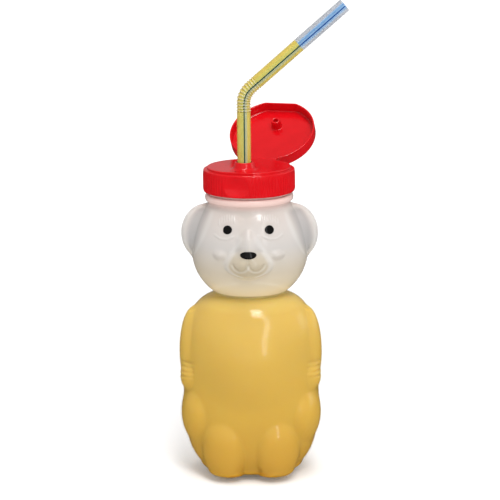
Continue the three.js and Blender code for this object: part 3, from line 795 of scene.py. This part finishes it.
RED = [(0.25, paint(206, 5, 16)), (0.75, paint(216, 9, 21))]
red, tree, shader = finish("red_polypropylene")
mottled(tree, shader, 7, RED)
polished(tree, shader, 3, 0.13, 0.21)
shader.inputs["IOR"].default_value = 1.49
shader.inputs["Subsurface Weight"].default_value = 0.08
shader.inputs["Subsurface Radius"].default_value = (1.0, 0.1, 0.06)
shader.inputs["Subsurface Scale"].default_value = 1.2 * MM
roughen(tree, shader, speckle(tree, 1.6), 0.05, 0.12)
cap.data.materials.append(red)
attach(cap, "cap")
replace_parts(cap, "screw_cap")

# Flip lid
# The shallow lid moulded with the cap, open on its living hinge. It has a flat for the thumb at its
# free end and a hollow plug that shuts the spout when no straw is in it.
LID_RADIUS, LID_WALL, LID_DEPTH, LID_TOP = 19.05, 0.7, 4.8, 1.2
LID_FLAT = 17.7
LID_OPEN = math.radians(146)
HINGE_REACH = 19.8
PLUG_RADIUS, PLUG_LENGTH, PLUG_HOLLOW = 2.1, 3.9, 1.1
top = LID_DEPTH + LID_TOP
lid_outline = [(0, top)] + eased([
    (LID_RADIUS - 4, top, 0),
    (LID_RADIUS, top, 1.1),
    (LID_RADIUS, FIT, 0.25),
    (LID_RADIUS - LID_WALL, FIT, 0.25),
    (LID_RADIUS - LID_WALL, LID_DEPTH, 0.7),
    (LID_RADIUS - 3.4, LID_DEPTH, 0),
])
lid = spun("lid", lid_outline, 256)
points = outline_of(lid)
reach = np.hypot(points[:, 0], points[:, 1])
points[:, 1] = np.maximum(points[:, 1], np.where(reach > 5, -LID_FLAT + LID_RADIUS - reach, -99))
put_points(lid, points)
tip = LID_DEPTH - PLUG_LENGTH
plug_outline = [(0, LID_DEPTH - PLUG_LENGTH / 2)] + eased([
    (PLUG_HOLLOW - 0.2, LID_DEPTH - PLUG_LENGTH / 2, 0),
    (PLUG_HOLLOW, LID_DEPTH - PLUG_LENGTH / 2, 0.15),
    (PLUG_HOLLOW, tip, 0.25),
    (PLUG_RADIUS - 0.1, tip, 0.4),
    (PLUG_RADIUS + 0.2, LID_DEPTH, 0.4),
    (PLUG_RADIUS + 1.1, LID_DEPTH, 0),
])
plug = spun("plug", plug_outline, 64)
moved(plug, Matrix.Translation((0, -SPOUT_REACH, 0)))
together(lid, plug)
close_flat(lid, LID_DEPTH)
swing = Matrix.Rotation(CAP_TURN, 4, "Z") @ Matrix.Translation((0, HINGE_REACH, LEDGE_Z))
swing = swing @ Matrix.Rotation(-LID_OPEN, 4, "X") @ Matrix.Translation((0, -HINGE_REACH, 0))
moved(lid, swing)
smooth(lid, 40)
lid.data.materials.append(red)
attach(lid, "lid")
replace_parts(lid, "flip_lid")

# Hinge webs
# Two thin straps of the same moulding behind the deck, coined so that they bend for thousands of turns.
# Each runs from the flat behind the skirt, round the hinge line, to the rim of the lid.
WEB_WIDTH, WEB_SPACING, WEB_THICKNESS, WEB_LENGTH = 4.5, 8, 0.4, 2
COINED_AWAY, NECKED_AWAY = 0.45, 0.1
for name, side in (("left", -1), ("right", 1)):
    bpy.ops.object.select_all(action="DESELECT")
    bpy.ops.mesh.primitive_cube_add(size=MM)
    web = bpy.context.object
    web.name = web.data.name = "hinge_strap_" + name
    edit(web)
    bpy.ops.transform.resize(value=(WEB_WIDTH, WEB_LENGTH, WEB_THICKNESS))
    bpy.ops.mesh.subdivide(number_cuts=15)
    bpy.ops.object.mode_set(mode="OBJECT")
    points = outline_of(web)
    along = points[:, 1]
    coined = 1 - COINED_AWAY * bump(along, 0.55)
    neck = 1 - NECKED_AWAY * bump(along, 0.8)
    bend = math.pi - LID_OPEN
    turn = bend * step(-0.35, 0.35, along)
    lift = points[:, 2] * coined
    run = np.where(along > 0, along * np.cos(turn), along)
    climb = np.where(along > 0, along * np.sin(turn), 0)
    points = np.stack([
        points[:, 0] * neck + side * WEB_SPACING / 2,
        HINGE_REACH + run - lift * np.sin(turn),
        LEDGE_Z + climb + lift * np.cos(turn),
    ], 1)
    put_points(web, points)
    around = Matrix.Rotation(CAP_TURN, 4, "Z")
    moved(web, around)
    smooth(web, 40)
    web.data.materials.append(red)
    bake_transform(web)
    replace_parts(web, "hinge_web_" + name)

# Cap liner
# A die-cut ring of white foam under the deck, pressed between the cap and the lip of the bottle.
# Its edges are rounded a little by the cut.
LINER_Z, LINER_THICKNESS = LIP_Z + FIT, 1
liner_inner, liner_outer = bore - 0.5, SKIRT_INNER - FIT


def washer(name, inner, outer, low, high, ease, steps):
    """Flat ring with eased edges."""
    corners = [
        (inner, (low + high) / 2, 0),
        (inner, low, ease),
        (outer, low, ease),
        (outer, high, ease),
        (inner, high, ease),
        (inner, (low + high) / 2, 0),
    ]
    return spun(name, eased(corners), steps)


liner = washer("liner", liner_inner, liner_outer, LINER_Z, LINER_Z + LINER_THICKNESS, 0.2, 128)
smooth(liner, 40)
foam, tree, shader = finish("white_foam")
mottled(tree, shader, 0.6, [(0.35, paint(222, 218, 208)), (0.65, paint(240, 238, 231))])
polished(tree, shader, 0.4, 0.6, 0.85)
roughen(tree, shader, speckle(tree, 0.35), 0.1, 0.5)
liner.data.materials.append(foam)
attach(liner, "liner")
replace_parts(liner, "cap_liner")

# Straw seal
# A soft silicone washer in the socket under the spout. It grips the straw, so that a squeeze of the
# bottle lifts the drink and letting go doesn't let it fall back.
STRAW_RADIUS = 3
SPOUT = Matrix.Rotation(CAP_TURN, 4, "Z") @ Vector((0, -SPOUT_REACH, 0))
seal_top = DECK_UNDER - FIT
seal = washer("seal", STRAW_RADIUS + FIT, SEAL_RADIUS, seal_top - SEAL_THICKNESS, seal_top, 0.35, 96)
moved(seal, Matrix.Translation(SPOUT))
smooth(seal, 40)
silicone, tree, shader = finish("clear_silicone")
mottled(tree, shader, 2, [(0.3, paint(226, 226, 222)), (0.7, paint(240, 240, 236))])
polished(tree, shader, 1, 0.4, 0.6)
roughen(tree, shader, speckle(tree, 0.8), 0.05, 0.3)
seal.data.materials.append(silicone)
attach(seal, "seal")
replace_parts(seal, "straw_seal")

# Straw
# One extruded tube of clear polypropylene with two painted stripes, each a broad pale blue band with a
# dark blue line at its edge. Rolled ribs make the bellows, so it bends and stays bent.
STRAW_WALL = 0.2
STRAW_FOOT, STEM_TOP = FLOOR + FIT, DECK_Z + 24.5
BELLOWS_LENGTH, BELLOWS_RIBS = 14.4, 12
FOLD_HEIGHT, FOLD_SUNK = 0.38, 0.22
BELLOWS_BEND = math.radians(49)
MOUTH_LENGTH = 49
SEAM, END_ROLL, END_EASE = 0.02, 0.15, 0.08
# The middle of the bellows takes the bend, so its two ends stay straight
BEND_RADIUS, EVEN_RADIUS = 9, BELLOWS_LENGTH / BELLOWS_BEND
STRAIGHT_END = (EVEN_RADIUS - BEND_RADIUS) * math.tan(BELLOWS_BEND / 2)
BELLOWS_PATH = 2 * STRAIGHT_END + BEND_RADIUS * BELLOWS_BEND
SIDES = 72
DRINK_IN_MOUTH = 23.5
# Stripes by the angle from the front, towards the right hand
PALE_FROM, DARK_FROM, DARK_TO, LIGHT_TO = -32, 0, 8, 30


def straw_plastic(name, colours, cover, roughness):
    """See-through straw plastic, a little mottled between two colours."""
    made, tree, shader = finish(name)
    mottled(tree, shader, 2, [(0.3, colours[0]), (0.7, colours[1])])
    polished(tree, shader, 1.5, roughness - 0.05, roughness + 0.08)
    shader.inputs["Alpha"].default_value = cover
    shader.inputs["IOR"].default_value = 1.49
    roughen(tree, shader, speckle(tree, 1.2), 0.03, 0.2)
    return made


CLEAR = (paint(158, 164, 174), paint(182, 186, 194))
BLUE = (paint(116, 166, 214), paint(136, 182, 224))
LINE = (paint(24, 70, 136), paint(34, 84, 150))
# Each look lists its clear plastic, pale stripe, dark line and the strip beside the line, a paler blue
# where the straw is empty and a painted highlight over the drink
CLEAR_STRIP, PALE_STRIP, DARK_STRIP, LIGHT_EDGE_AND_HIGHLIGHT_STRIP = range(4)
empty_look = [
    straw_plastic("clear_straw", CLEAR, 0.36, 0.12),
    straw_plastic("pale_blue_stripe", BLUE, 0.5, 0.14),
    straw_plastic("dark_blue_line", LINE, 0.9, 0.16),
    straw_plastic("light_blue_edge", BLUE, 0.42, 0.14),
]
GOLD = (paint(228, 206, 106), paint(234, 216, 126))
OLIVE = (paint(212, 208, 112), paint(220, 216, 126))
TEAL = (paint(24, 66, 62), paint(34, 80, 74))
# Painted highlight beside the dark line, over the drink
PAINTED_HIGHLIGHT = (paint(190, 198, 160), paint(200, 206, 170))
filled_look = [
    straw_plastic("clear_over_drink", GOLD, 0.3, 0.12),
    straw_plastic("pale_stripe_over_drink", OLIVE, 0.4, 0.14),
    straw_plastic("dark_line_over_drink", TEAL, 0.92, 0.16),
    straw_plastic("highlight_over_drink", PAINTED_HIGHLIGHT, 0.45, 0.14),
]
# Paler plastic on the crests of the bellows is a painted highlight
CREST_HIGHLIGHT = (paint(238, 232, 196), paint(246, 242, 216))
crest_highlight_plastic = straw_plastic("fold_crest_highlight", CREST_HIGHLIGHT, 0.48, 0.14)


def striped(tube, empty_above):
    """Gives each lengthwise strip of a straight tube about the origin its stripe's plastic."""
    for plastic in filled_look + empty_look + [crest_highlight_plastic]:
        tube.data.materials.append(plastic)
    for face in tube.data.polygons:
        middle = face.center
        around = math.degrees(math.atan2(middle.x, -middle.y)) % 180
        turned = around - 180 if around > 90 else around
        empty = middle.z / MM > empty_above
        stripe = CLEAR_STRIP
        if PALE_FROM <= turned < DARK_FROM:
            stripe = PALE_STRIP
        elif DARK_FROM <= turned < DARK_TO:
            stripe = DARK_STRIP
        elif DARK_TO <= turned < LIGHT_TO:
            stripe = LIGHT_EDGE_AND_HIGHLIGHT_STRIP
        face.material_index = stripe + (len(filled_look) if empty else 0)
        # Crests of the bellows, but not the dark line, get the painted highlight
        crest = math.hypot(middle.x, middle.y) / MM > STRAW_RADIUS + FOLD_HEIGHT / 6
        if crest and stripe != DARK_STRIP:
            face.material_index = len(filled_look + empty_look)


def bent(points, foot):
    """Bends straight points above a foot round the middle of the bellows, and carries on straight."""
    above = np.maximum(points[:, 2] - foot, 0)
    along = np.minimum(above / BELLOWS_LENGTH, 1) * BELLOWS_PATH
    along += np.maximum(above - BELLOWS_LENGTH, 0)
    turn = np.clip((along - STRAIGHT_END) / BEND_RADIUS, 0, BELLOWS_BEND)
    before = np.minimum(along, STRAIGHT_END)
    past = np.maximum(along - STRAIGHT_END - BEND_RADIUS * BELLOWS_BEND, 0)
    ahead = BEND_RADIUS * (1 - np.cos(turn)) + past * np.sin(turn)
    lift = before + BEND_RADIUS * np.sin(turn) + past * np.cos(turn)
    across = ahead + points[:, 0] * np.cos(turn)
    height = np.minimum(points[:, 2], foot) + lift - points[:, 0] * np.sin(turn)
    return np.stack([across, points[:, 1], height], 1)


def tube_outline(low, high, pitch):
    """Wall of a plain tube with rolled ends."""
    inner = STRAW_RADIUS - STRAW_WALL
    run = levels((low + END_ROLL, high - END_ROLL, pitch))
    wall = [(STRAW_RADIUS, z) for z in run]
    back = [(inner, z) for z in reversed(run)]
    tip = [(STRAW_RADIUS - END_EASE, high), (inner + END_EASE, high)]
    foot = [(inner + END_EASE, low), (STRAW_RADIUS - END_EASE, low)]
    return wall + tip + back + foot + wall[:1]


bellows_end = STEM_TOP + BELLOWS_LENGTH
mouth_end = bellows_end + MOUTH_LENGTH
empty_above = bellows_end + DRINK_IN_MOUTH
rib_pitch = BELLOWS_LENGTH / BELLOWS_RIBS
ribs = levels((STEM_TOP + SEAM, bellows_end - SEAM, rib_pitch / 8))
rib_turn = [math.cos(2 * math.pi * (z - STEM_TOP) / rib_pitch) for z in ribs]
fold_foot = STRAW_RADIUS - FOLD_SUNK
fold_outer = [(fold_foot + FOLD_HEIGHT * (0.5 - 0.5 * c) ** 1.4, z) for c, z in zip(rib_turn, ribs)]
fold_inner = [(r - STRAW_WALL, z) for r, z in reversed(fold_outer)]
straw_pieces = (
    ("stem", tube_outline(STRAW_FOOT, STEM_TOP, 4), "straw_stem"),
    ("bellows", fold_outer + fold_inner + fold_outer[:1], "straw_bellows"),
    ("mouth_tube", tube_outline(bellows_end, mouth_end, 0.5), "straw_mouth_tube"),
)


def seat_on_straw(piece, stretch):
    """Bends a piece as the straw is bent, stands it in the spout and lets it move with its stretch."""
    points = bent(outline_of(piece), STEM_TOP)
    put_points(piece, points + np.array([SPOUT.x, SPOUT.y, 0]))
    smooth(piece, 50)
    if stretch == "bellows":
        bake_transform(piece)
    else:
        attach(piece, "straw" if stretch == "stem" else "mouth")


for name, outline, solid in straw_pieces:
    tube = spun(name, outline, SIDES)
    striped(tube, empty_above)
    seat_on_straw(tube, name)
    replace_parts(tube, solid)

# Drink in the straw
# The same juice, drawn up to a little short of the end of the straw and hollow at its top.
# It is one column for each stretch of the tube, and moves with that stretch.
DRAWN_IN = STRAW_WALL + 0.05
column = STRAW_RADIUS - DRAWN_IN
columns = (
    ("drink_in_stem", STRAW_FOOT + 0.3, STEM_TOP - SEAM, "stem"),
    ("drink_in_bellows", STEM_TOP + SEAM, bellows_end - SEAM, "bellows"),
    ("drink_in_mouth_tube", bellows_end + SEAM, empty_above, "mouth_tube"),
)
straw_juice, tree, shader = finish("juice_in_straw")
tone = ramp(tree, speckle(tree, 8, 2), [(0.3, paint(211, 190, 66)), (0.7, paint(221, 202, 88))])
tree.links.new(tone, shader.inputs["Base Color"])
polished(tree, shader, 3, 0.12, 0.22)
shader.inputs["IOR"].default_value = 1.49
for name, low, high, stretch in columns:
    hollow = 0.35 if stretch == "mouth_tube" else 0
    side = [(column, z) for z in levels((low + 0.3, high - 0.3, 0.9))]
    if stretch == "bellows":
        side = [(radius - DRAWN_IN, z) for radius, z in fold_outer]
    outline = [(0, low), (side[0][0], low)] + side
    outline += [(side[-1][0], high), (column * 0.6, high - hollow), (0, high - hollow)]
    filled = spun(name, outline, 40)
    filled.data.materials.append(straw_juice)
    seat_on_straw(filled, stretch)

# Stage
# A plain white floor that keeps the cup's shadow, soft studio light and the photograph's camera.
# Shiny plastic mirrors a floor and a room that are dimmer than those that light it.
FLOOR_SIZE, FLOOR_GAP = 12, 0.0004
ROOM_LIGHT, ROOM_SEEN, ROOM_DIMMED = 0.55, 1.0, 0.24
bpy.ops.object.select_all(action="DESELECT")
bpy.ops.mesh.primitive_plane_add(size=FLOOR_SIZE, location=(0, FLOOR_SIZE / 4, -FLOOR_GAP))
floor = bpy.context.object
floor.name = "floor"
pale, tree, shader = finish("white_floor")
WHITE = [(0.3, grey(0.9)), (0.7, grey(0.92))]
seen = node(tree, "ShaderNodeLightPath")
mirrored = node(tree, "ShaderNodeMix", data_type="RGBA")
mirrored.inputs["B"].default_value = grey(0.04)
tree.links.new(seen.outputs["Is Glossy Ray"], mirrored.inputs["Factor"])
tree.links.new(ramp(tree, speckle(tree, 300), WHITE), mirrored.inputs["A"])
tree.links.new(mirrored.outputs["Result"], shader.inputs["Base Color"])
shader.inputs["Roughness"].default_value = 0.9
shader.inputs["Specular IOR Level"].default_value = 0
shader.inputs["Emission Color"].default_value = grey(1)
tree.links.new(between(tree, seen.outputs["Is Camera Ray"], 0, 0.12), shader.inputs["Emission Strength"])
floor.data.materials.append(pale)

world = bpy.data.worlds.new("studio")
bpy.context.scene.world = world
world.use_nodes = True
tree = world.node_tree
sky = tree.nodes["Background"]
sky.inputs["Color"].default_value = grey(1)
seen = node(tree, "ShaderNodeLightPath")
unlit = node(tree, "ShaderNodeMath", operation="SUBTRACT")
tree.links.new(between(tree, seen.outputs["Is Camera Ray"], ROOM_LIGHT, ROOM_SEEN), unlit.inputs[0])
tree.links.new(between(tree, seen.outputs["Is Glossy Ray"], 0, ROOM_DIMMED), unlit.inputs[1])
tree.links.new(unlit.outputs["Value"], sky.inputs["Strength"])


def lamp(name, towards, lift, spread, strength):
    """Far lamp: degrees to the right of the front, degrees up, and how wide it looks in degrees."""
    data = bpy.data.lights.new(name, "SUN")
    data.energy = strength
    data.angle = math.radians(spread)
    made = bpy.data.objects.new(name, data)
    bpy.context.scene.collection.objects.link(made)
    made.rotation_euler = (math.radians(90 - lift), 0, math.radians(towards))


# Two lamps above the camera, one overhead, a tall window of four, and weak fill from side and front
for lift in (49, 61):
    lamp("key_light", 14, lift, 16, 0.61)
lamp("top_light", 0, 80, 26, 0.92)
for lift in (10, 20, 30, 40):
    lamp("window_light", 27, lift, 10, 0.1)
lamp("side_light", 100, 14, 24, 0.14)
lamp("front_light", 2, 20, 70, 0.22)

CAMERA_AROUND = math.radians(1.5)
CAMERA_PLACE = Vector((0.0001, -0.9, 0.2996))
CAMERA_PITCH = math.radians(12.56)
CAMERA_ROLL = math.radians(-0.6)
SENSOR_WIDTH, FOCAL_LENGTH = 36, 153.4
lens = bpy.data.cameras.new("camera")
lens.sensor_width = SENSOR_WIDTH
lens.lens = FOCAL_LENGTH
camera = bpy.data.objects.new("camera", lens)
bpy.context.scene.collection.objects.link(camera)
look = Matrix.Translation(CAMERA_PLACE) @ Matrix.Rotation(math.pi / 2 - CAMERA_PITCH, 4, "X")
camera.matrix_world = Matrix.Rotation(CAMERA_AROUND, 4, "Z") @ look @ Matrix.Rotation(CAMERA_ROLL, 4, "Z")
bpy.context.scene.camera = camera
bpy.context.scene.view_settings.view_transform = "Standard"
